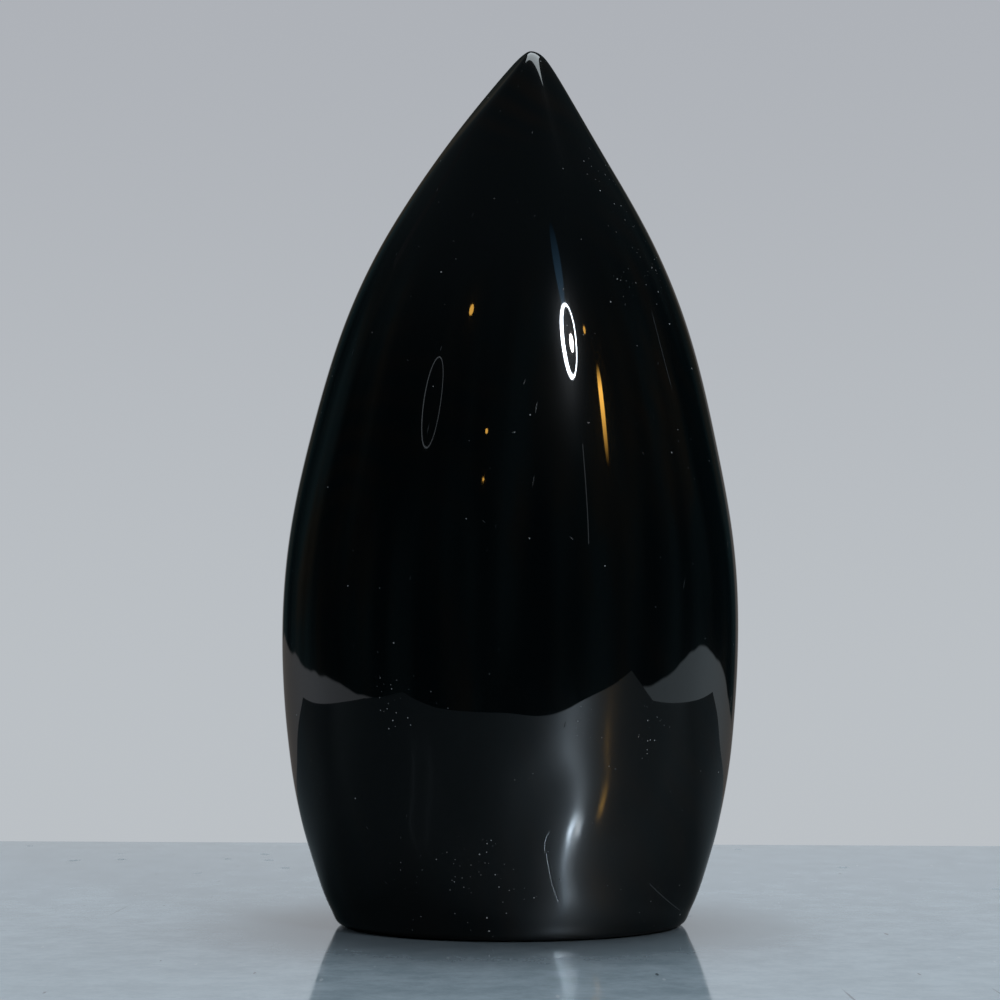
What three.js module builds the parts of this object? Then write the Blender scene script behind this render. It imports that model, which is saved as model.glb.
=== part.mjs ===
// A polished obsidian flame: one piece of volcanic glass, ground to a tall pointed teardrop that
// bows forward and a little to its right, with a long soft facet up its left shoulder and a flat
// sawn foot. Millimetres, +Z up, -Y the front. The origin lies on the surface that it stands on,
// under the middle of the stone.

import * as THREE from 'three';
import { NURBSCurve } from 'three/addons/curves/NURBSCurve.js';

// Driving dimensions.
const HEIGHT = 120; // foot to tip
const FOOT_RADIUS = 20.4; // flat part of the foot, before the arris rounds off

// The stone is thinner front to back than across, most of all at its foot.
const DEPTH_OVER_WIDTH_AT_FOOT = 0.86;
const DEPTH_OVER_WIDTH_AT_TIP = 0.93;

// The centre line seen from the front is a shallow arc that bends to the right of its lowest bend.
const SIDE_LEAN = 2.2; // at the tip
const SIDE_LEAN_TURN = 25.5; // height where the arc is farthest left

// Seen from the side it bows towards the front, more steeply the higher it goes.
const FORWARD_LEAN = 9.2; // at the tip
const FORWARD_STRAIGHT = 0.48; // share of the lean that rises in a straight line

// The shoulder facet: a shallow flat ground on the left, turned a little to the front.
const FACET_TURN = THREE.MathUtils.degToRad(22); // from -X towards -Y
const FACET_RISE = THREE.MathUtils.degToRad(37.9); // its normal above the horizontal
const FACET_DISTANCE = 74.8; // from the middle of the foot, along its normal
const FACET_SOFTNESS = 0.28; // how far the polish rounds its edge

// Control points of the outline, each a radius and a height.
const FOOT_ARRIS = [
  [FOOT_RADIUS, 0],
  [22.9, 0],
  [24.1, 0.4],
  [24.5, 1.8],
];
const BELLY = [
  [25.7, 4],
  [27.4, 9.4],
  [29.5, 16.4],
  [30.9, 26.4],
  [31.7, 39.2],
  [31, 52.8],
  [28, 67.2],
];
const SHOULDER = [
  [24.5, 80.8],
  [19, 93.6],
  [11.9, 104.8],
  [6.4, 113.6],
];
const TIP = [
  [3.2, 118.7],
  [1.8, HEIGHT],
  [0, HEIGHT],
];

const OUTLINE_STEPS = 48;
const AROUND_STEPS = 64;

// A clamped cubic curve through the control polygon, so the outline has no kink anywhere.
function outlineCurve(points) {
  const degree = 3;
  const spans = points.length - degree;
  const knots = [];
  for (let i = 0; i < points.length + degree + 1; i += 1) {
    knots.push(THREE.MathUtils.clamp(i - degree, 0, spans));
  }
  const controls = points.map(([radius, height]) => new THREE.Vector4(radius, height, 0, 1));
  return new NURBSCurve(degree, knots, controls);
}

// The round stone before it is made oval: the flat foot, then the outline up to the tip.
function turnedStone() {
  const curve = outlineCurve([...FOOT_ARRIS, ...BELLY, ...SHOULDER, ...TIP]);
  const rise = curve.getPoints(OUTLINE_STEPS).map((p) => new THREE.Vector2(p.x, p.y));
  rise[rise.length - 1].x = 0;
  const geometry = new THREE.LatheGeometry([new THREE.Vector2(0, 0), ...rise], AROUND_STEPS);
  geometry.rotateX(Math.PI / 2);
  return geometry;
}

function depthOverWidth(height) {
  return THREE.MathUtils.lerp(DEPTH_OVER_WIDTH_AT_FOOT, DEPTH_OVER_WIDTH_AT_TIP, height / HEIGHT);
}

function leanToRight(height) {
  const t = (height - SIDE_LEAN_TURN) / (HEIGHT - SIDE_LEAN_TURN);
  return SIDE_LEAN * t * t;
}

function leanToFront(height) {
  const t = height / HEIGHT;
  return FORWARD_LEAN * (FORWARD_STRAIGHT * t + (1 - FORWARD_STRAIGHT) * t * t);
}

const facetNormal = new THREE.Vector3(
  -Math.cos(FACET_TURN) * Math.cos(FACET_RISE),
  -Math.sin(FACET_TURN) * Math.cos(FACET_RISE),
  Math.sin(FACET_RISE),
);

// Presses a point back to the facet's plane. The step is soft, so the facet's edge stays rounded.
function grindFacet(point) {
  const proud = point.dot(facetNormal) - FACET_DISTANCE;
  const cut = FACET_SOFTNESS * Math.log1p(Math.exp(proud / FACET_SOFTNESS));
  point.addScaledVector(facetNormal, -cut);
}

// The turned stone made oval, bowed over and ground on its shoulder.
function flameGeometry() {
  const geometry = turnedStone();
  const position = geometry.attributes.position;
  const point = new THREE.Vector3();
  for (let i = 0; i < position.count; i += 1) {
    point.fromBufferAttribute(position, i);
    const onFoot = point.z < 1e-6;
    point.y = point.y * depthOverWidth(point.z) - leanToFront(point.z);
    point.x += leanToRight(point.z);
    grindFacet(point);
    position.setXYZ(i, point.x, point.y, onFoot ? 0 : point.z);
  }
  geometry.computeBoundingBox();
  const middle = geometry.boundingBox.getCenter(new THREE.Vector3());
  geometry.translate(-middle.x, -middle.y, 0);
  geometry.computeVertexNormals();
  return geometry;
}

const obsidian = new THREE.MeshStandardMaterial({
  color: new THREE.Color(0.006, 0.007, 0.009),
  roughness: 0.03,
  metalness: 0,
});

const flame = new THREE.Mesh(flameGeometry(), obsidian);
flame.name = 'obsidian_flame';

const group = new THREE.Group();
group.add(flame);

export default group;
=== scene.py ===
"""A polished obsidian flame: a tall pointed teardrop of black volcanic glass on a pale table.

The stone is turned from one smooth outline, made oval, bowed forward and ground flat on one
shoulder. Metres, +Z up, -Y the front.
"""

import math

import bmesh
import bpy
from mathutils import Matrix, Vector, noise


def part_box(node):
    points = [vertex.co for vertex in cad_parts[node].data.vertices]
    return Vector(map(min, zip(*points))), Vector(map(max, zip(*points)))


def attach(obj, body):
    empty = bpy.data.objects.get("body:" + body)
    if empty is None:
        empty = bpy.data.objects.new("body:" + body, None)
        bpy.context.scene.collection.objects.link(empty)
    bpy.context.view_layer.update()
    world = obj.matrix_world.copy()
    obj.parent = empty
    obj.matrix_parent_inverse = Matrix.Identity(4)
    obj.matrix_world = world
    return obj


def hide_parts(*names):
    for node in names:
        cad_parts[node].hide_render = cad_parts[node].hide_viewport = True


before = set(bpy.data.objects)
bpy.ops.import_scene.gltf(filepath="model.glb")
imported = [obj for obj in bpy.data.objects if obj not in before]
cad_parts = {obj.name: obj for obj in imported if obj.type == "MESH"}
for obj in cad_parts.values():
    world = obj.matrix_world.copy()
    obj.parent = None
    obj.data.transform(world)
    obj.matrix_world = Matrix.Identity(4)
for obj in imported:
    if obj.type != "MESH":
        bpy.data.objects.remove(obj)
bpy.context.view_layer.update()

MM = 0.001
STONE_NODE = "obsidian_flame"
box_low, box_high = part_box(STONE_NODE)
stone_height = box_high.z - box_low.z
stone_middle = (box_low + box_high) / 2

# --- the stone's shape, in millimetres -----------------------------------------------------------

TIP_HEIGHT = 120
FOOT_RADIUS = 20.4
DEPTH_OVER_WIDTH_AT_FOOT = 0.86
DEPTH_OVER_WIDTH_AT_TIP = 0.93
SIDE_LEAN = 2.2
SIDE_LEAN_TURN = 25.5  # height where the centre line is farthest left
FORWARD_LEAN = 9.2
FORWARD_STRAIGHT = 0.48  # share of the forward lean that rises in a straight line

# Control points of the outline, each a radius and a height.
FOOT_ARRIS = ((FOOT_RADIUS, 0), (22.9, 0), (24.1, 0.4), (24.5, 1.8))
BELLY = ((25.7, 4), (27.4, 9.4), (29.5, 16.4), (30.9, 26.4), (31.7, 39.2), (31, 52.8), (28, 67.2))
SHOULDER = ((24.5, 80.8), (19, 93.6), (11.9, 104.8), (6.4, 113.6))
TIP = ((3.2, 118.7), (1.8, TIP_HEIGHT), (0, TIP_HEIGHT))

FACET_TURN = math.radians(22)
FACET_RISE = math.radians(37.9)
FACET_DISTANCE = 74.8
FACET_SOFTNESS = 0.28
facet_normal = Vector((
    -math.cos(FACET_TURN) * math.cos(FACET_RISE),
    -math.sin(FACET_TURN) * math.cos(FACET_RISE),
    math.sin(FACET_RISE),
))

OUTLINE_STEPS = 12  # between two control points
AROUND_STEPS = 288
SAME_PLACE = 1e-4  # points nearer than this are one
ON_FOOT = 1e-5  # height under which a point counts as lying on the foot

# What grinding by hand leaves: a slow wave all over and a quick one low on the front.
SLOW_WAVE = 22
SLOW_DEPTH = 0.12
SLOW_START = Vector((10, 48, 45))  # where in the noise it begins
SLOW_FULL_HEIGHT = 12  # from nothing at the foot, it has its full depth here
QUICK_WAVE = 10
QUICK_DEPTH = 0.34
QUICK_START = Vector((14, 11, 46))
QUICK_SETS_IN = (0, 8)  # heights
QUICK_DIES_AWAY = (20, 32)
QUICK_AT_BACK = 0.3  # share of its depth that the back keeps
FACING_FRONT = (0.3, 0.8)  # how far a face turns to the front before the quick wave is full

# The stone's two finishes, in the order in which its materials are added.
POLISH_SLOT = 0
FOOT_SLOT = 1


def outline_edges():
    """The outline as a chain of edges in the XZ plane, from the edge of the foot to the tip."""
    points = (*FOOT_ARRIS, *BELLY, *SHOULDER, *TIP)
    curve = bpy.data.curves.new("outline", "CURVE")
    curve.dimensions = "3D"
    spline = curve.splines.new("NURBS")
    spline.points.add(len(points) - 1)
    for point, (radius, height) in zip(spline.points, points):
        point.co = (radius, 0, height, 1)
    spline.order_u = 4
    spline.use_endpoint_u = True
    spline.resolution_u = OUTLINE_STEPS
    holder = bpy.data.objects.new("outline", curve)
    edges = bmesh.new()
    edges.from_mesh(holder.to_mesh())
    bpy.data.objects.remove(holder)
    bpy.data.curves.remove(curve)
    return edges


def bowed(place):
    """A point of the round stone, once the stone is made oval and its centre line bowed."""
    up = place.z / TIP_HEIGHT
    depth = DEPTH_OVER_WIDTH_AT_FOOT + (DEPTH_OVER_WIDTH_AT_TIP - DEPTH_OVER_WIDTH_AT_FOOT) * up
    aside = (place.z - SIDE_LEAN_TURN) / (TIP_HEIGHT - SIDE_LEAN_TURN)
    forward = FORWARD_STRAIGHT * up + (1 - FORWARD_STRAIGHT) * up * up
    right = SIDE_LEAN * aside * aside
    return Vector((place.x + right, place.y * depth - FORWARD_LEAN * forward, place.z))


def grind_facet(place):
    """Presses a point softly back to the shoulder facet's plane."""
    proud = place.dot(facet_normal) - FACET_DISTANCE
    return place - facet_normal * FACET_SOFTNESS * math.log1p(math.exp(proud / FACET_SOFTNESS))


def eased(value, start, end):
    """0 at start and 1 at end, with a soft step between them."""
    t = min(1, max(0, (value - start) / (end - start)))
    return t * t * (3 - 2 * t)


def hand_ground(place, normal):
    """The faint unevenness that a stone ground by hand keeps: most above the foot, none at its edge."""
    above_foot = eased(place.z, *QUICK_SETS_IN) * (1 - eased(place.z, *QUICK_DIES_AWAY))
    in_front = QUICK_AT_BACK + (1 - QUICK_AT_BACK) * eased(-normal.y, *FACING_FRONT)
    grown = min(1, place.z / SLOW_FULL_HEIGHT)
    slow = noise.noise(place / SLOW_WAVE + SLOW_START) * SLOW_DEPTH * grown
    quick = noise.noise(place / QUICK_WAVE + QUICK_START) * QUICK_DEPTH * above_foot * in_front
    return place + normal * (slow + quick)


def as_object(name, shape):
    """Ends a bmesh as an object in the scene."""
    mesh = bpy.data.meshes.new(name)
    shape.to_mesh(mesh)
    shape.free()
    made = bpy.data.objects.new(name, mesh)
    bpy.context.scene.collection.objects.link(made)
    return made


def make_stone():
    """The outline spun round, then each point moved to where the real stone bows and is ground."""
    stone = outline_edges()
    foot_edge = min(stone.verts, key=lambda vert: vert.co.z)
    foot_middle = stone.verts.new((0, 0, 0))
    stone.edges.new((foot_middle, foot_edge))
    bmesh.ops.spin(
        stone, geom=stone.verts[:] + stone.edges[:], cent=(0, 0, 0), axis=(0, 0, 1), dvec=(0, 0, 0),
        angle=math.tau, steps=AROUND_STEPS, use_merge=True, use_duplicate=False,
    )
    bmesh.ops.remove_doubles(stone, verts=stone.verts, dist=SAME_PLACE)
    bmesh.ops.recalc_face_normals(stone, faces=stone.faces)
    stone.normal_update()
    for vert in stone.verts:
        on_foot = vert.co.z < ON_FOOT
        place = bowed(vert.co)
        if not on_foot:
            place = grind_facet(hand_ground(place, vert.normal))
        vert.co = place
    for face in stone.faces:
        face.smooth = True
        under = max(vert.co.z for vert in face.verts) < ON_FOOT
        face.material_index = FOOT_SLOT if under else POLISH_SLOT
    seat_in_frame(stone)
    return as_object("polished_flame", stone)


def seat_in_frame(stone):
    """Brings the millimetre stone to metres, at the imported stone's height and over its middle."""
    low = Vector(min(v.co[i] for v in stone.verts) for i in range(3))
    high = Vector(max(v.co[i] for v in stone.verts) for i in range(3))
    to_metres = stone_height / (high.z - low.z)
    middle = (low + high) / 2 * to_metres
    aside = stone_middle - middle
    shift = Vector((aside.x, aside.y, box_low.z - low.z * to_metres))
    place = Matrix.Translation(shift) @ Matrix.Scale(to_metres, 4)
    bmesh.ops.transform(stone, matrix=place, verts=stone.verts)


# --- node helpers --------------------------------------------------------------------------------


# A Mix node has the same socket names for numbers, vectors and colours, so these go by place.
MIX_NUMBER_A = 2
MIX_NUMBER_B = 3
MIX_COLOUR_A = 6
MIX_COLOUR_B = 7
MIX_COLOUR_RESULT = 2


def plug(tree, value, socket):
    """Links a socket to the input, or sets the input to a plain value."""
    if isinstance(value, bpy.types.NodeSocket):
        tree.links.new(value, socket)
    else:
        socket.default_value = value


def add(tree, kind, inputs=None, **settings):
    """A node of that kind, with its settings made and its inputs filled or linked."""
    node = tree.nodes.new("ShaderNode" + kind)
    for name, value in settings.items():
        setattr(node, name, value)
    for name, value in (inputs or {}).items():
        plug(tree, value, node.inputs[name])
    return node


def maths(tree, operation, *values, clamp=False):
    """The result of one Math node."""
    node = tree.nodes.new("ShaderNodeMath")
    node.operation = operation
    node.use_clamp = clamp
    for value, socket in zip(values, node.inputs):
        plug(tree, value, socket)
    return node.outputs[0]


def times(tree, value, factor):
    return maths(tree, "MULTIPLY", value, factor)


def ramp(tree, value, start, end, low=0.0, high=1.0):
    """value eased from low at start to high at end, and held beyond them."""
    inputs = {"Value": value, "From Min": start, "From Max": end, "To Min": low, "To Max": high}
    return add(tree, "MapRange", inputs, interpolation_type="SMOOTHSTEP").outputs[0]


def blend(tree, factor, first, second):
    """A colour mixed from first to second."""
    node = add(tree, "Mix", data_type="RGBA")
    plug(tree, factor, node.inputs[0])
    plug(tree, first, node.inputs[MIX_COLOUR_A])
    plug(tree, second, node.inputs[MIX_COLOUR_B])
    return node.outputs[MIX_COLOUR_RESULT]


def noise_of(tree, vector, scale, detail=2.0, roughness=0.5):
    inputs = {"Vector": vector, "Scale": scale, "Detail": detail, "Roughness": roughness}
    return add(tree, "TexNoise", inputs).outputs["Fac"]


def new_group(name, inputs, outputs):
    """An empty node group with those inputs, and outputs that are all plain values."""
    tree = bpy.data.node_groups.new(name, "ShaderNodeTree")
    for label, (kind, value) in inputs.items():
        socket = tree.interface.new_socket(label, in_out="INPUT", socket_type="NodeSocket" + kind)
        if kind == "Float":
            socket.default_value = value
    for label in outputs:
        tree.interface.new_socket(label, in_out="OUTPUT", socket_type="NodeSocketFloat")
    return tree, tree.nodes.new("NodeGroupInput").outputs, tree.nodes.new("NodeGroupOutput").inputs


def use(tree, group, **inputs):
    """Places a group in a material. Inputs are named as the group names them, with _ for a space."""
    node = tree.nodes.new("ShaderNodeGroup")
    node.node_tree = group
    for name, value in inputs.items():
        plug(tree, value, node.inputs[name.replace("_", " ").capitalize()])
    return node.outputs


# --- effects that the stone's and the table's finishes use ---------------------------------------


SMALLEST_SPECK = 0.35  # of the largest
# How much of each mark's radius or half width is full, before its soft rim.
SPECK_CORE = 0.5
DRIFT_CORE = 0.3
HAIRLINE_CORE = 0.3
SCRATCH_CORE = 0.7  # of half its length


def specks_group():
    """Tiny round specks: pits in the polish, and the dust that sits in them.

    Share is how many of them show, from 0 to 1, and it may change over the surface.
    """
    tree, given, out = new_group(
        "specks",
        {"Vector": ("Vector", None), "Per metre": ("Float", 800), "Size": ("Float", 0.1),
         "Share": ("Float", 0.1)},
        ("Mask", "Tone"),
    )
    cells = add(tree, "TexVoronoi", {"Vector": given["Vector"], "Scale": given["Per metre"]})
    chance = add(tree, "SeparateColor", {"Color": cells.outputs["Color"]}).outputs
    radius = times(tree, given["Size"], ramp(tree, chance["Red"], 0, 1, SMALLEST_SPECK, 1))
    dot = ramp(tree, cells.outputs["Distance"], radius, times(tree, radius, SPECK_CORE))
    shown = maths(tree, "GREATER_THAN", given["Share"], chance["Green"])
    tree.links.new(times(tree, dot, shown), out["Mask"])
    tree.links.new(chance["Blue"], out["Tone"])
    return tree


def drift_group():
    """A soft round patch about a centre, torn at its rim, where dust has gathered."""
    tree, given, out = new_group(
        "drift",
        {"Vector": ("Vector", None), "Centre": ("Vector", None), "Reach": ("Float", 0.004)},
        ("Mask",),
    )
    away = add(tree, "VectorMath", {0: given["Vector"], 1: given["Centre"]}, operation="DISTANCE")
    torn = ramp(tree, noise_of(tree, given["Vector"], 420.0, 2), 0.3, 0.7, 0.5, 1.6)
    distance = times(tree, away.outputs["Value"], torn)
    core = times(tree, given["Reach"], DRIFT_CORE)
    tree.links.new(ramp(tree, distance, given["Reach"], core), out["Mask"])
    return tree


def hairlines_group():
    """Short fine scratches that lie one way: needle-shaped cells cut by the surface."""
    tree, given, out = new_group(
        "hairlines",
        {"Vector": ("Vector", None), "Across": ("Float", 500), "Along": ("Float", 60),
         "Width": ("Float", 0.05), "Share": ("Float", 0.5)},
        ("Mask",),
    )
    wander = add(tree, "TexNoise", {"Vector": given["Vector"], "Scale": 60.0, "Detail": 0.0})
    bend = wander.outputs["Color"]
    slight = add(tree, "VectorMath", {0: bend, "Scale": 0.004}, operation="SCALE").outputs[0]
    bent = add(tree, "VectorMath", {0: given["Vector"], 1: slight}, operation="ADD").outputs[0]
    squash = add(tree, "CombineXYZ", {"X": given["Across"], "Y": given["Across"], "Z": given["Along"]})
    drawn = add(tree, "VectorMath", {0: bent, 1: squash.outputs[0]}, operation="MULTIPLY").outputs[0]
    cells = add(tree, "TexVoronoi", {"Vector": drawn, "Scale": 1.0})
    chance = add(tree, "SeparateColor", {"Color": cells.outputs["Color"]}).outputs["Green"]
    core = times(tree, given["Width"], HAIRLINE_CORE)
    line = ramp(tree, cells.outputs["Distance"], given["Width"], core)
    shown = maths(tree, "GREATER_THAN", given["Share"], chance)
    tree.links.new(times(tree, line, shown), out["Mask"])
    return tree


def arc_scratch_group():
    """One scratch on the front: part of a circle in X and Z, left of its centre, fading at its ends."""
    tree, given, out = new_group(
        "arc_scratch",
        {"Vector": ("Vector", None), "Centre x": ("Float", 0), "Centre z": ("Float", 0),
         "Radius": ("Float", 0.01), "Width": ("Float", 0.0001), "Low": ("Float", 0),
         "High": ("Float", 0.01)},
        ("Mask",),
    )
    axis = add(tree, "SeparateXYZ", {"Vector": given["Vector"]}).outputs
    across = maths(tree, "SUBTRACT", axis["X"], given["Centre x"])
    up = maths(tree, "SUBTRACT", axis["Z"], given["Centre z"])
    squares = maths(tree, "ADD", maths(tree, "POWER", across, 2), maths(tree, "POWER", up, 2))
    reach = maths(tree, "SQRT", squares)
    off_line = maths(tree, "ABSOLUTE", maths(tree, "SUBTRACT", reach, given["Radius"]))
    line = ramp(tree, off_line, given["Width"], 0)
    middle = times(tree, maths(tree, "ADD", given["Low"], given["High"]), 0.5)
    half = times(tree, maths(tree, "SUBTRACT", given["High"], given["Low"]), 0.5)
    along = maths(tree, "ABSOLUTE", maths(tree, "SUBTRACT", axis["Z"], middle))
    ends = ramp(tree, along, half, times(tree, half, SCRATCH_CORE))
    in_front = maths(tree, "LESS_THAN", axis["Y"], 0)
    side = times(tree, in_front, maths(tree, "LESS_THAN", across, 0))
    tree.links.new(times(tree, times(tree, line, ends), side), out["Mask"])
    return tree


def flow_bands_group():
    """The slow bands that glass keeps from when it flowed, from 0 to 1."""
    tree, given, out = new_group(
        "flow_bands",
        {"Vector": ("Vector", None), "Per metre": ("Float", 120), "Fold": ("Float", 0.02)},
        ("Band",),
    )
    folds = add(tree, "TexNoise", {"Vector": given["Vector"], "Scale": 22.0, "Detail": 2.0})
    push = {0: folds.outputs["Color"], "Scale": given["Fold"]}
    pushed = add(tree, "VectorMath", push, operation="SCALE").outputs[0]
    folded = add(tree, "VectorMath", {0: given["Vector"], 1: pushed}, operation="ADD").outputs[0]
    bands = add(tree, "TexWave", {"Vector": folded, "Scale": given["Per metre"], "Distortion": 1.5,
                                  "Detail": 2.0, "Detail Scale": 0.6}, bands_direction="DIAGONAL")
    tree.links.new(bands.outputs["Fac"], out["Band"])
    return tree


SPECKS = specks_group()
DRIFT = drift_group()
HAIRLINES = hairlines_group()
ARC_SCRATCH = arc_scratch_group()
FLOW_BANDS = flow_bands_group()


def turned(tree, vector, *degrees):
    """The vector turned about X, Y and Z, so that a pattern lies another way."""
    angles = tuple(math.radians(d) for d in degrees)
    return add(tree, "Mapping", {"Vector": vector, "Rotation": angles}).outputs[0]


def total(tree, *masks):
    """The masks added up, and held at 1."""
    result = masks[0]
    for mask in masks[1:]:
        result = maths(tree, "ADD", result, mask, clamp=True)
    return result


def new_material(name):
    """A material, its node tree and its Principled shader."""
    material = bpy.data.materials.new(name)
    material.use_nodes = True
    tree = material.node_tree
    return material, tree, tree.nodes["Principled BSDF"]


BLACK_GLASS = (0.0008, 0.0014, 0.0017, 1)
BROWN_GLASS = (0.0030, 0.0020, 0.0014, 1)
DUST = (0.42, 0.44, 0.45, 1)
SCUFFED_GLASS = (0.05, 0.055, 0.06, 1)
LAPPED_GLASS = (0.012, 0.013, 0.014, 1)
GLASS_IOR = 1.5

# Where dust has gathered on the front: a place in millimetres, and how far it reaches.
DUST_DRIFTS = (
    ((12, -13.5, 101.5), 4), ((15.5, -15.5, 92.5), 3), ((18.5, -14, 88.5), 5), ((15, -18.5, 86.5), 3),
    ((10, -23.5, 79), 2.5), ((-14, -23.5, 31), 5), ((9.5, -25, 28.5), 3), ((18, -21, 27), 5),
    ((-5, -21.5, 9.5), 7), ((-12, -20, 10.5), 4), ((-1, -22, 7), 4), ((-12, -16, 1.5), 3),
)

# Four longer scratches on the front, in millimetres: centre x and z of the arc, its radius, the
# heights between which it runs, and half its width.
ARC_SCRATCHES = (
    (8.0, 12.5, 3.7, 11.6, 14.8, 0.13),
    (29.7, 14.5, 25.3, 5.0, 12.4, 0.15),
    (52.7, 39.8, 47.6, 2.4, 7.6, 0.13),
    (419.6, 176.1, 411.9, 71.0, 82.5, 0.09),
)


def obsidian_polish():
    """Black glass with a mirror polish, faint flow bands, pits, dust and hairline scratches."""
    material, tree, skin = new_material("obsidian_polish")
    here = add(tree, "TexCoord").outputs["Object"]

    bands = use(tree, FLOW_BANDS, vector=here, per_metre=90.0, fold=0.03)["Band"]
    clouds = ramp(tree, noise_of(tree, here, 30.0, 3), 0.42, 0.7)
    glass = blend(tree, times(tree, bands, clouds), BLACK_GLASS, BROWN_GLASS)

    gathered = ramp(tree, noise_of(tree, here, 75.0, 3), 0.60, 0.75, 0.004, 0.2)
    for centre, reach in DUST_DRIFTS:
        drift = use(tree, DRIFT, vector=here, centre=Vector(centre) * MM, reach=reach * MM)["Mask"]
        gathered = maths(tree, "MAXIMUM", gathered, times(tree, drift, 0.7))
    dust = use(tree, SPECKS, vector=here, per_metre=2000.0, size=0.2, share=gathered)
    pits = use(tree, SPECKS, vector=turned(tree, here, 20, 50, 10), per_metre=900.0, size=0.12,
               share=0.05)
    specks = total(tree, times(tree, dust["Mask"], dust["Tone"]), pits["Mask"])

    upright = use(tree, HAIRLINES, vector=turned(tree, here, 8, -12, 0), across=650.0, along=45.0,
                  width=0.055, share=0.6)["Mask"]
    slanted = use(tree, HAIRLINES, vector=turned(tree, here, 0, 52, 30), across=650.0, along=70.0,
                  width=0.055, share=0.5)["Mask"]
    scratches = total(tree, upright, slanted)
    for centre_x, centre_z, radius, low, high, width in ARC_SCRATCHES:
        arc = use(tree, ARC_SCRATCH, vector=here, centre_x=centre_x * MM, centre_z=centre_z * MM,
                  radius=radius * MM, low=low * MM, high=high * MM, width=width * MM)["Mask"]
        scratches = total(tree, scratches, arc)

    colour = blend(tree, times(tree, scratches, 0.5), glass, SCUFFED_GLASS)
    colour = blend(tree, specks, colour, DUST)
    tree.links.new(colour, skin.inputs["Base Color"])

    wiped = noise_of(tree, here, 38.0, 4, 0.6)
    gloss = ramp(tree, wiped, 0.35, 0.75, 0.01, 0.045)
    scuffed = times(tree, scratches, 0.35)
    worn = maths(tree, "MAXIMUM", times(tree, specks, 0.6), scuffed)
    tree.links.new(maths(tree, "ADD", gloss, worn, clamp=True), skin.inputs["Roughness"])

    haze = ramp(tree, noise_of(tree, here, 26.0, 3), 0.3, 0.75, 0.02, 0.10)
    tree.links.new(haze, skin.inputs["Coat Weight"])
    skin.inputs["Coat Roughness"].default_value = 0.2
    skin.inputs["Coat IOR"].default_value = GLASS_IOR
    skin.inputs["IOR"].default_value = GLASS_IOR

    sunk = total(tree, pits["Mask"], times(tree, scratches, 0.5))
    height = maths(tree, "SUBTRACT", 1.0, sunk)
    bump = add(tree, "Bump", {"Height": height, "Strength": 0.6, "Distance": 0.00004})
    tree.links.new(bump.outputs[0], skin.inputs["Normal"])
    return material


def obsidian_foot():
    """The sawn foot, lapped flat but not polished: a grey-black satin with fine swirls."""
    material, tree, skin = new_material("obsidian_foot")
    here = add(tree, "TexCoord").outputs["Object"]
    swirl = noise_of(tree, here, 900.0, 3, 0.7)
    lap = use(tree, HAIRLINES, vector=turned(tree, here, 90, 30, 0), across=900.0, along=120.0,
              width=0.2, share=0.9)["Mask"]
    marks = total(tree, times(tree, swirl, 0.4), lap)
    tree.links.new(blend(tree, marks, LAPPED_GLASS, SCUFFED_GLASS), skin.inputs["Base Color"])
    tree.links.new(ramp(tree, marks, 0, 1, 0.28, 0.5), skin.inputs["Roughness"])
    skin.inputs["IOR"].default_value = GLASS_IOR
    bump = add(tree, "Bump", {"Height": marks, "Strength": 0.4, "Distance": 0.00002})
    tree.links.new(bump.outputs[0], skin.inputs["Normal"])
    return material


# --- the table, the lamps and the room -----------------------------------------------------------

# The two sides of the table top from the front to the back, in metres.
TABLE_LEFT_SIDE = ((-0.125, -0.116), (-0.166, -0.070), (-0.285, 0.153))
TABLE_RIGHT_SIDE = ((0.179, -0.128), (0.160, -0.071), (0.290, 0.119))
TABLE_THICKNESS = 0.02
TABLE_ARRIS = 0.0015
TABLE_PALE = ((0.27, 0.345, 0.395, 1), (0.39, 0.475, 0.535, 1))
# Dark tone for the table's real marks and grime, and also for painted shade round the stone's foot.
TABLE_GRIME_AND_SHADE = (0.09, 0.115, 0.13, 1)
# Paler tone for the rubbed hairlines and dust, and for the paler front of the table.
TABLE_PALER_TONE = (0.56, 0.62, 0.66, 1)
TABLE_STEEL = ((0.66, 0.73, 0.78, 1), (0.80, 0.88, 0.93, 1))
FOOT_MIDDLE = (0, 0.002, 0)  # where the middle of the stone's foot stands on it
FOOT_SHADE = (0.05, 0.026)  # how far from there the painted shade begins, and where it is darkest
MARKS_DRAWN_OUT = (1.0, 0.2, 1.0)  # the marks run five times longer from front to back
MOTTLE = (0.3, 0.7)  # the span of the mottle that tells
STEEL_WORN = {"Roughness": 0.48, "Anisotropic": 0.45}
STEEL_BRIGHT = {"Roughness": 0.165, "Anisotropic": 0.5}
STEEL_BRUSHED = {"Metallic": 1.0, "Anisotropic Rotation": 0.25}
BRIGHT_SHARE = 0.42


def table_marks(tree, here):
    """Three masks: the dark marks, the rubbed hairlines, and all the pale marks with them."""
    deep = add(tree, "VectorMath", {0: here, 1: MARKS_DRAWN_OUT}, operation="MULTIPLY").outputs[0]
    scored = total(
        tree,
        use(tree, HAIRLINES, vector=turned(tree, deep, 0, 90, 28), across=220.0, along=14.0,
            width=0.05, share=0.45)["Mask"],
        use(tree, HAIRLINES, vector=turned(tree, deep, 90, 0, 35), across=220.0, along=18.0,
            width=0.05, share=0.4)["Mask"],
    )
    rubbed = use(tree, HAIRLINES, vector=turned(tree, deep, 0, 90, 4), across=420.0, along=100.0,
                 width=0.16, share=0.22)["Mask"]
    grit = use(tree, SPECKS, vector=deep, per_metre=420.0, size=0.12, share=0.25)["Mask"]
    dust = use(tree, SPECKS, vector=turned(tree, deep, 0, 0, 40), per_metre=600.0, size=0.17,
               share=0.2)["Mask"]
    return total(tree, scored, grit), rubbed, total(tree, rubbed, dust)


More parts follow.
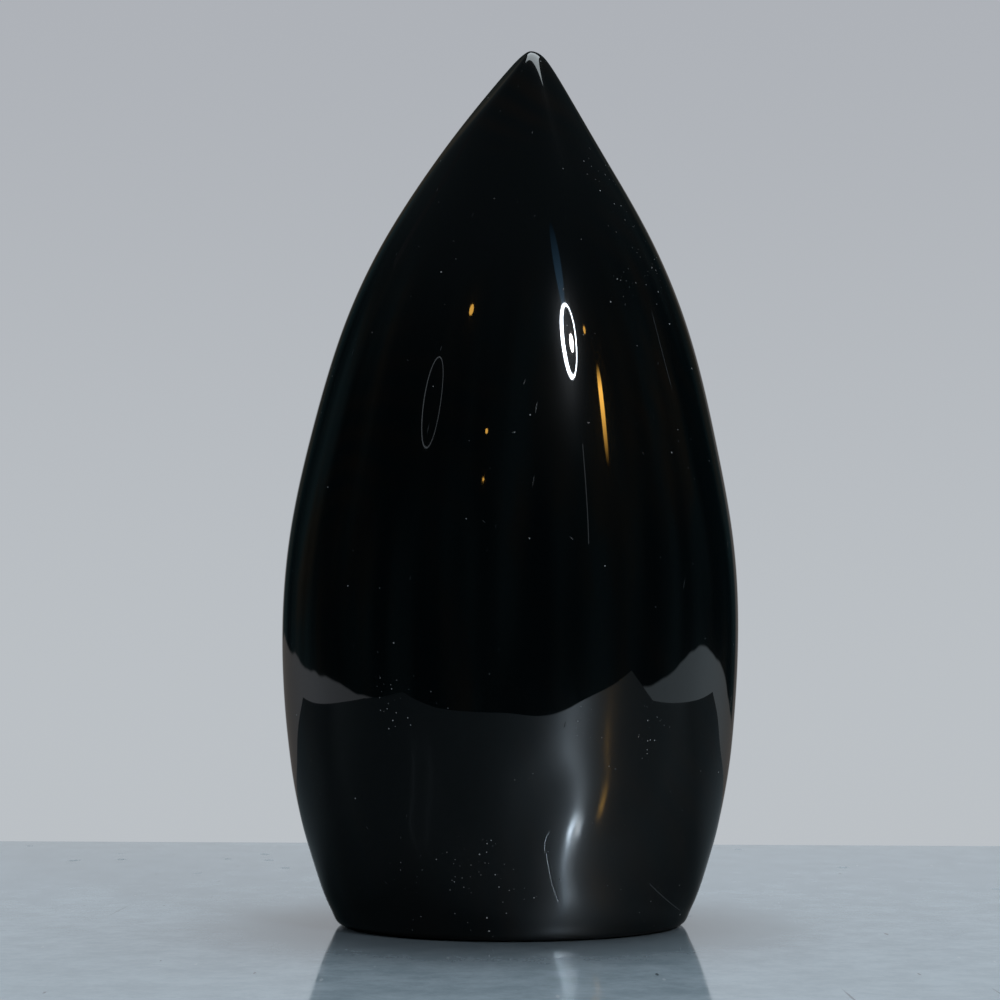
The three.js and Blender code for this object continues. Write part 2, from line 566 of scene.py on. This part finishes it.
def brushed_steel(tree, mottle, back):
    """Two sheens of brushed steel mixed, darker towards the back of the table."""
    tone = blend(tree, mottle, *TABLE_STEEL)
    tone = blend(tree, ramp(tree, back, -0.025, 0.01, 0, 0.6), tone, TABLE_GRIME_AND_SHADE)
    worn = add(tree, "BsdfPrincipled", {**STEEL_BRUSHED, **STEEL_WORN, "Base Color": tone})
    bright = add(tree, "BsdfPrincipled", {**STEEL_BRUSHED, **STEEL_BRIGHT, "Base Color": tone})
    mixed = {0: BRIGHT_SHARE, 1: worn.outputs[0], 2: bright.outputs[0]}
    return add(tree, "MixShader", mixed).outputs[0]


def table_finish():
    """Pale and marked to the camera. The stone's polish sees a darker brushed-steel copy of it instead:
    painted shade in the reflection.
    """
    material, tree, pale = new_material("pale_table")
    here = add(tree, "TexCoord").outputs["Object"]
    back = add(tree, "SeparateXYZ", {"Vector": here}).outputs["Y"]
    mottle = noise_of(tree, here, 130.0, 5, 0.8)
    dark_marks, rubbed, pale_marks = table_marks(tree, here)

    tone = blend(tree, ramp(tree, mottle, *MOTTLE), *TABLE_PALE)
    tone = blend(tree, times(tree, dark_marks, 0.9), tone, TABLE_GRIME_AND_SHADE)
    tone = blend(tree, times(tree, pale_marks, 0.6), tone, TABLE_PALER_TONE)
    from_foot = add(tree, "VectorMath", {0: here, 1: FOOT_MIDDLE}, operation="DISTANCE").outputs["Value"]
    # Painted shade on the table round the stone's foot, where the stone would shadow it.
    tone = blend(tree, ramp(tree, from_foot, *FOOT_SHADE, 0, 0.6), tone, TABLE_GRIME_AND_SHADE)
    # Paler towards the front of the table.
    tone = blend(tree, ramp(tree, back, -0.02, -0.11, 0, 0.16), tone, TABLE_PALER_TONE)
    tree.links.new(tone, pale.inputs["Base Color"])
    matt = ramp(tree, mottle, *MOTTLE, 0.03, 0.10)
    matt = maths(tree, "ADD", matt, times(tree, rubbed, 0.3))
    tree.links.new(matt, pale.inputs["Roughness"])

    # Rays mirrored off the stone see the darker steel copy: painted shade in the stone's reflection of
    # the table.
    mirrored = add(tree, "LightPath").outputs["Is Glossy Ray"]
    seen = {0: mirrored, 1: pale.outputs[0], 2: brushed_steel(tree, mottle, back)}
    both = add(tree, "MixShader", seen)
    tree.links.new(both.outputs[0], tree.nodes["Material Output"].inputs[0])
    return material


def make_table():
    """A slab whose edges aren't square to the front."""
    slab = bmesh.new()
    bmesh.ops.create_grid(slab, x_segments=1, y_segments=2, size=1)
    for vert in slab.verts:
        side = TABLE_LEFT_SIDE if vert.co.x < 0 else TABLE_RIGHT_SIDE
        vert.co = (*side[round(vert.co.y) + 1], box_low.z)
    lowered = bmesh.ops.extrude_face_region(slab, geom=slab.faces[:], use_keep_orig=True)["geom"]
    lowered = [part for part in lowered if isinstance(part, bmesh.types.BMVert)]
    bmesh.ops.translate(slab, vec=(0, 0, -TABLE_THICKNESS), verts=lowered)
    bmesh.ops.recalc_face_normals(slab, faces=slab.faces)
    bmesh.ops.bevel(slab, geom=slab.edges[:], offset=TABLE_ARRIS, segments=4, affect="EDGES",
                    profile=0.5, material=-1)
    table = as_object("table_top", slab)
    table.data.materials.append(table_finish())


FACE_ABOVE_MIDDLE = 0.01  # lamps are set out from a place on the face this far above its middle


def toward(turn, rise, distance):
    """A place at that many degrees right of the front and above level, seen from the stone's face."""
    turn, rise = math.radians(turn), math.radians(rise)
    level = math.cos(rise) * distance
    face = Vector((0, box_low.y, stone_middle.z + FACE_ABOVE_MIDDLE))
    away = Vector((math.sin(turn) * level, -math.cos(turn) * level, math.sin(rise) * distance))
    return face + away


def facing_stone(place):
    """The matrix that puts a flat shape at that place, turned to the middle of the stone."""
    turn = (stone_middle - place).to_track_quat("Z", "Y").to_matrix().to_4x4()
    return Matrix.Translation(place) @ turn


def hang_lamp(name, shape, placed, colour, strength, fade=None, lights=None):
    """Hangs a glowing mesh, unseen by the camera. lights: what alone it lights, or None for all.

    fade is four heights: the glow rises from nothing at the first to full at the second, and falls
    from full at the third to nothing at the last. The two are multiplied, so they may overlap.
    """
    bmesh.ops.transform(shape, matrix=placed, verts=shape.verts)
    lamp = as_object(name, shape)
    material = bpy.data.materials.new(name)
    material.use_nodes = True
    tree = material.node_tree
    tree.nodes.clear()
    glow = add(tree, "Emission", {"Color": (*colour, 1), "Strength": strength})
    if fade:
        here = add(tree, "TexCoord").outputs["Object"]
        height = add(tree, "SeparateXYZ", {"Vector": here}).outputs["Z"]
        from_below = ramp(tree, height, fade[0], fade[1], 0, strength)
        from_top = ramp(tree, height, fade[3], fade[2])
        tree.links.new(times(tree, from_below, from_top), glow.inputs["Strength"])
    tree.links.new(glow.outputs[0], add(tree, "OutputMaterial").inputs[0])
    lamp.data.materials.append(material)
    lamp.visible_camera = False
    lamp.light_linking.receiver_collection = lights


def oval_shape(half_width, half_height):
    oval = bmesh.new()
    bmesh.ops.create_circle(oval, cap_ends=True, radius=1, segments=48)
    bmesh.ops.scale(oval, vec=(half_width, half_height, 1), verts=oval.verts)
    return oval


def ring_shape(half_width, half_height, hole_width, hole_height, hole_aside=0.0):
    """A flat oval ring, its hole set a little to one side."""
    ring = oval_shape(half_width, half_height)
    rim = set(ring.verts)
    inset = half_width / 4
    band = bmesh.ops.inset_individual(ring, faces=ring.faces[:], thickness=inset)["faces"]
    hole = [face for face in ring.faces if face not in band]
    hole_rim = [vert for vert in ring.verts if vert not in rim]
    width_now = max(abs(vert.co.x) for vert in hole_rim)
    height_now = max(abs(vert.co.y) for vert in hole_rim)
    to_size = (hole_width / width_now, hole_height / height_now, 1)
    bmesh.ops.scale(ring, vec=to_size, verts=hole_rim)
    bmesh.ops.translate(ring, vec=(hole_aside, 0, 0), verts=hole_rim)
    bmesh.ops.delete(ring, geom=hole, context="FACES_ONLY")
    return ring


def strip_shape(width, height, foot_width=None, foot_aside=0.0):
    """An upright strip, or a taper where its foot has another width or stands aside."""
    strip = bmesh.new()
    bmesh.ops.create_grid(strip, x_segments=1, y_segments=1, size=0.5)
    bmesh.ops.scale(strip, vec=(width, height, 1), verts=strip.verts)
    foot = [vert for vert in strip.verts if vert.co.y < 0]
    bmesh.ops.scale(strip, vec=((foot_width or width) / width, 1, 1), verts=foot)
    bmesh.ops.translate(strip, vec=(foot_aside, 0, 0), verts=foot)
    return strip


def spindle_shape(half_width, head, tail):
    """A drop with a short head and a long tail."""
    drop = oval_shape(half_width, head)
    low = [vert for vert in drop.verts if vert.co.y < 0]
    bmesh.ops.scale(drop, vec=(1, tail / head, 1), verts=low)
    return drop


COOL = (0.82, 0.91, 1.0)
BLUE = (0.25, 0.6, 1.0)
WARM = (1.0, 0.52, 0.09)
HEART_WHITE = (1, 0.96, 0.92)
CEILING_WHITE = (0.85, 0.95, 1.0)

RING_LAMP = Vector((0.292, -0.479, 0.362))
RING_HEART = RING_LAMP + Vector((0.0125, 0.0076, -0.0115))
CEILING_LAMP = (0.088, 0.082, 0.718)

# Small warm bulbs: degrees right of the front, degrees up, half width and half height.
WARM_BULBS = (
    (-29, 33.9, 0.020, 0.017), (-13.2, 18.8, 0.011, 0.0045), (-13.8, 13.4, 0.009, 0.004),
    (43.5, 28.9, 0.011, 0.010),
)


def make_ring_lamp():
    """The bright ring with its heart, the blue light that it spills upwards, and its stand, which glows
    faintly: painted light.
    """
    ring = ring_shape(half_width=0.045, half_height=0.0585, hole_width=0.034, hole_height=0.0535,
                      hole_aside=-0.007)
    hang_lamp("ring_lamp", ring, facing_stone(RING_LAMP), COOL, strength=140)
    heart = oval_shape(half_width=0.0105, half_height=0.0135)
    hang_lamp("ring_lamp_heart", heart, facing_stone(RING_HEART), HEART_WHITE, strength=140)
    spill = oval_shape(half_width=0.023, half_height=0.10)
    spill_place = toward(turn=32.3, rise=42.5, distance=0.62)
    hang_lamp("ring_lamp_spill", spill, facing_stone(spill_place), BLUE, strength=1.1,
              fade=(0, 0.1, 0.39, 0.60))
    # The stand is given a faint glow of its own: painted light on a part that is no lamp.
    stand = strip_shape(width=0.006, height=0.24)
    stand_place = toward(turn=35.5, rise=10, distance=1.0)
    hang_lamp("ring_lamp_stand_glow", stand, facing_stone(stand_place), COOL, strength=0.8)


def make_lamps(lights_stone_only):
    """The room's lamps. The warm bulbs light only what is in the collection given."""
    make_ring_lamp()
    dim_ring = ring_shape(half_width=0.077, half_height=0.078, hole_width=0.0725, hole_height=0.076,
                          hole_aside=-0.001)
    dim_ring_place = toward(turn=-44.7, rise=22.2, distance=0.90)
    hang_lamp("dim_ring_lamp", dim_ring, facing_stone(dim_ring_place), COOL, strength=1.5)
    warm_strip = spindle_shape(half_width=0.020, head=0.062, tail=0.125)
    warm_strip_place = toward(turn=48.6, rise=21.0, distance=1.0)
    hang_lamp("warm_strip", warm_strip, facing_stone(warm_strip_place), WARM, strength=24,
              fade=(0.32, 0.445, 0.43, 0.486))
    for number, (turn, rise, half_width, half_height) in enumerate(WARM_BULBS):
        bulb = oval_shape(half_width, half_height)
        bulb_place = toward(turn, rise, distance=1.0)
        hang_lamp(f"warm_bulb_{number}", bulb, facing_stone(bulb_place), WARM, strength=14,
                  lights=lights_stone_only)
    # This faint one is a guess, there to let the edge of the shoulder facet show.
    far_glow = strip_shape(width=0.09, height=0.40)
    far_glow_place = toward(turn=-115, rise=45, distance=1.0)
    hang_lamp("far_glow", far_glow, facing_stone(far_glow_place), COOL, strength=0.045)
    ceiling_lamp = strip_shape(width=0.55, height=0.43, foot_width=0.42, foot_aside=0.065)
    hang_lamp("ceiling_lamp", ceiling_lamp, Matrix.Translation(CEILING_LAMP), CEILING_WHITE,
              strength=4.4)


WALL_LOW = (0.50, 0.53, 0.56, 1)
WALL_HIGH = (0.42, 0.44, 0.475, 1)
GROUND_LEFT = (0.42, 0.45, 0.49, 1)
GROUND_RIGHT = (0.50, 0.60, 0.66, 1)
SHADED_WALL = (0.125, 0.118, 0.112, 1)
DIM_LOW = (0.003, 0.008, 0.010, 1)
DIM_HIGH = (0.035, 0.045, 0.05, 1)
MURK_TEAL = (0.42, 0.74, 0.82, 1)
MURK_BROWN = (0.85, 0.68, 0.45, 1)
AMBIENT = (0.30, 0.31, 0.33, 1)
UPRIGHT = (2.2, 2.2, 0.8)  # draws the murk out into upright streaks


def mirrored_ground(tree, direction, axis):
    """Where the room's ground lies in the polish, and its colour: pale in front, shaded behind."""
    right = ramp(tree, axis["X"], -0.5, 0.5)
    left_level = maths(tree, "MULTIPLY_ADD", axis["Y"], 0.167, -0.144)
    right_level = ramp(tree, axis["Y"], -0.5, 0.3, -0.20, -0.07)
    sides = {0: right, MIX_NUMBER_A: left_level, MIX_NUMBER_B: right_level}
    level = add(tree, "Mix", sides).outputs[0]
    uneven = ramp(tree, noise_of(tree, direction, 2.5, 2), 0.3, 0.7, -0.007, 0.007)
    hidden = ramp(tree, axis["Y"], -0.46, -0.6, 0, -0.25)
    level = maths(tree, "ADD", level, maths(tree, "ADD", uneven, hidden))
    below = ramp(tree, maths(tree, "SUBTRACT", axis["Z"], level), 0.003, -0.003)
    colour = blend(tree, right, GROUND_LEFT, GROUND_RIGHT)
    return below, blend(tree, ramp(tree, axis["Y"], 0.2, 0.95), colour, SHADED_WALL)


def mirrored_dimness(tree, direction, axis):
    """The unlit room in the polish: nearly black, with faint upright streaks of teal and brown."""
    upright = add(tree, "VectorMath", {0: direction, 1: UPRIGHT}, operation="MULTIPLY").outputs[0]
    murk = ramp(tree, noise_of(tree, upright, 1.5, 1), 0.35, 0.8, 0.0, 0.05)
    murk = times(tree, murk, ramp(tree, axis["Z"], 0.75, 0.35))
    dim = blend(tree, ramp(tree, axis["Z"], 0.3, 0.8), DIM_LOW, DIM_HIGH)
    browner = ramp(tree, noise_of(tree, direction, 2.2, 2), 0.45, 0.62)
    return blend(tree, murk, dim, blend(tree, browner, MURK_TEAL, MURK_BROWN))


def mirrored_wall(tree, axis, room, wall):
    """Adds to the mirrored room the wall behind the stone: shaded, but lit low in its middle."""
    askew = maths(tree, "ADD", axis["Y"], times(tree, axis["X"], 0.06))
    room = blend(tree, ramp(tree, askew, 0.90, 0.94), room, SHADED_WALL)
    from_middle = maths(tree, "ABSOLUTE", axis["X"])
    aside = maths(tree, "SUBTRACT", from_middle, times(tree, axis["Y"], 0.27))
    behind = ramp(tree, axis["Y"], 0.5, 0.6)
    low_behind = times(tree, behind, ramp(tree, axis["Z"], 0.23, 0.17))
    straight_back = times(tree, ramp(tree, aside, 0.02, -0.01), low_behind)
    return blend(tree, straight_back, room, wall)


def make_room():
    """A pale wall all round for the camera, and a dim room with a pale ground for the polish."""
    room = bpy.data.worlds.new("room")
    bpy.context.scene.world = room
    room.use_nodes = True
    tree = room.node_tree
    tree.nodes.clear()
    direction = add(tree, "TexCoord").outputs["Generated"]
    axis = add(tree, "SeparateXYZ", {"Vector": direction}).outputs
    wall = blend(tree, ramp(tree, axis["Z"], -0.05, 0.36), WALL_LOW, WALL_HIGH)
    below, ground = mirrored_ground(tree, direction, axis)
    seen_by_polish = blend(tree, below, mirrored_dimness(tree, direction, axis), ground)
    seen_by_polish = mirrored_wall(tree, axis, seen_by_polish, wall)

    path = add(tree, "LightPath").outputs
    shown = blend(tree, path["Is Diffuse Ray"], seen_by_polish, AMBIENT)
    shown = blend(tree, path["Is Camera Ray"], shown, wall)
    background = add(tree, "Background", {"Color": shown, "Strength": 1.0})
    tree.links.new(background.outputs[0], add(tree, "OutputWorld").inputs[0])


# --- the camera ----------------------------------------------------------------------------------

CAMERA_BACK = 0.2911
CAMERA_HEIGHT = 0.0351
CAMERA_ASIDE = -0.0014
CAMERA_TILT = math.radians(4.58)
FILM_WIDTH = 36  # millimetres, as is the focal length
FOCAL_LENGTH = 75.6
NEAREST_SEEN = 0.01
FARTHEST_SEEN = 20


def make_camera():
    lens = bpy.data.cameras.new("camera")
    lens.sensor_width = FILM_WIDTH
    lens.lens = FOCAL_LENGTH
    lens.clip_start = NEAREST_SEEN
    lens.clip_end = FARTHEST_SEEN
    camera = bpy.data.objects.new("camera", lens)
    camera.location = (CAMERA_ASIDE, -CAMERA_BACK, CAMERA_HEIGHT)
    camera.rotation_euler = (math.pi / 2 + CAMERA_TILT, 0, 0)
    bpy.context.scene.collection.objects.link(camera)
    bpy.context.scene.camera = camera


# --- the scene -----------------------------------------------------------------------------------

flame = make_stone()
stone_only = bpy.data.collections.new("stone_only")
stone_only.objects.link(flame)
make_camera()
make_table()
make_lamps(stone_only)
make_room()
bpy.context.scene.view_settings.view_transform = "Standard"

flame.data.materials.append(obsidian_polish())
flame.data.materials.append(obsidian_foot())
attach(flame, "root")
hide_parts(STONE_NODE)
